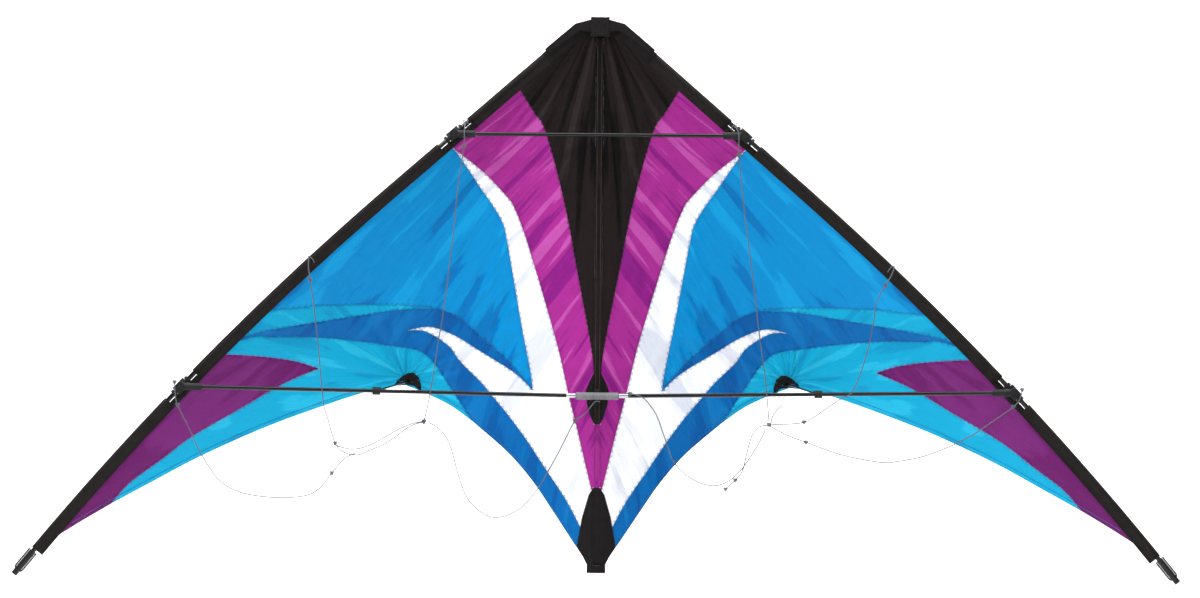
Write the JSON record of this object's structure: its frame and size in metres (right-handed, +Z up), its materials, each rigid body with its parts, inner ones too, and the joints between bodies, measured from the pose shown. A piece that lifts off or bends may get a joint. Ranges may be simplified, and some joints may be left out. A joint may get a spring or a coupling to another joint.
{
  "type": "delta kite",
  "caption": "Two-line delta kite with a bowed, sleeved leading edge on each wing, a panelled sail, spreaders, standoffs and a hanging bridle.",
  "frame": {"origin": "top of the nose, on the centre line", "axes": "+Z up towards the nose, +X to the wing tip on the right as seen from the bridle side, -Y out of the bridle side"},
  "size_m": [1.8008, 0.1311, 0.8689],
  "materials": {
    "carbon_rod": "gloss",
    "black_cloth": "woven",
    "webbing": "woven",
    "sleeve_cloth": "woven",
    "patch_cloth": "woven",
    "grey_tube": "satin",
    "ferrule_metal": "satin",
    "moulded_rubber": "matte",
    "moulded_plastic": "satin",
    "bungee": "woven",
    "magenta_cloth": "ripstop",
    "white_cloth": "ripstop",
    "blue_cloth": "ripstop",
    "dark_blue_cloth": "ripstop",
    "cyan_cloth": "ripstop",
    "purple_cloth": "ripstop",
    "bridle_cord": "braided"
  },
  "bodies": {
    "spine": {"spine_rod": "carbon_rod", "spine_pocket": "black_cloth", "spine_end_cap": "moulded_plastic", "nose_cap": "webbing", "centre_tube": "grey_tube", "spine_saddle": "moulded_rubber", "tail_strap": "webbing", "left_centre_line": "bridle_cord", "right_centre_line": "bridle_cord"},
    "left_wing": {"left_edge_rod": "carbon_rod", "left_edge_ferrule": "ferrule_metal", "left_edge_sleeve": "sleeve_cloth", "left_nose_cover": "webbing", "left_edge_stops": "moulded_rubber", "left_upper_connector": "moulded_rubber", "left_upper_socket": "moulded_rubber", "left_lower_connector": "moulded_rubber", "left_lower_socket": "moulded_rubber", "left_lower_spreader": "carbon_rod", "left_ferrule": "ferrule_metal", "left_tip_nock": "moulded_plastic", "left_tip_bungee": "bungee", "left_black_panel": "black_cloth", "left_magenta_panel": "magenta_cloth", "left_white_panel": "white_cloth", "left_blue_panel": "blue_cloth", "left_dark_blue_panel": "dark_blue_cloth", "left_cyan_panels": "cyan_cloth", "left_purple_panel": "purple_cloth", "left_patches": "patch_cloth", "left_upper_line": "bridle_cord", "left_middle_line": "bridle_cord", "left_lower_line": "bridle_cord"},
    "right_wing": {"right_edge_rod": "carbon_rod", "right_edge_ferrule": "ferrule_metal", "right_edge_sleeve": "sleeve_cloth", "right_nose_cover": "webbing", "right_edge_stops": "moulded_rubber", "right_upper_connector": "moulded_rubber", "right_lower_connector": "moulded_rubber", "right_lower_socket": "moulded_rubber", "right_lower_spreader": "carbon_rod", "right_ferrule": "ferrule_metal", "right_tip_nock": "moulded_plastic", "right_tip_bungee": "bungee", "right_black_panel": "black_cloth", "right_magenta_panel": "magenta_cloth", "right_white_panel": "white_cloth", "right_blue_panel": "blue_cloth", "right_dark_blue_panel": "dark_blue_cloth", "right_cyan_panels": "cyan_cloth", "right_purple_panel": "purple_cloth", "right_patches": "patch_cloth", "right_upper_line": "bridle_cord", "right_middle_line": "bridle_cord", "right_lower_line": "bridle_cord"},
    "left_standoff": {"left_standoff_clip": "moulded_rubber", "left_standoff_rod": "carbon_rod"},
    "right_standoff": {"right_standoff_clip": "moulded_rubber", "right_standoff_rod": "carbon_rod"},
    "upper_spreader": {"upper_spreader": "carbon_rod", "right_upper_socket": "moulded_rubber"}
  },
  "joints": [
    {"name": "left_wing_fold", "type": "hinge", "parent": "spine", "child": "left_wing", "pos_m": [-0.006, 0, -0.4], "axis": [0, 0, -1], "range_deg": [0, 60]},
    {"name": "right_wing_fold", "type": "hinge", "parent": "spine", "child": "right_wing", "pos_m": [0.006, 0, -0.4], "axis": [0, 0, 1], "range_deg": [0, 60]},
    {"name": "upper_spreader_swing", "type": "hinge", "parent": "right_wing", "child": "upper_spreader", "pos_m": [0.22351, -0.014, -0.183], "axis": [0, -1, 0], "range_deg": [0, 60]},
    {"name": "left_standoff_swing", "type": "hinge", "parent": "left_wing", "child": "left_standoff", "pos_m": [-0.34, -0.014, -0.5797], "axis": [-0.9999, 0, 0.0156], "range_deg": [0, 75]},
    {"name": "right_standoff_swing", "type": "hinge", "parent": "right_wing", "child": "right_standoff", "pos_m": [0.34, -0.014, -0.5797], "axis": [-0.9999, 0, -0.0156], "range_deg": [0, 75]}
  ]
}
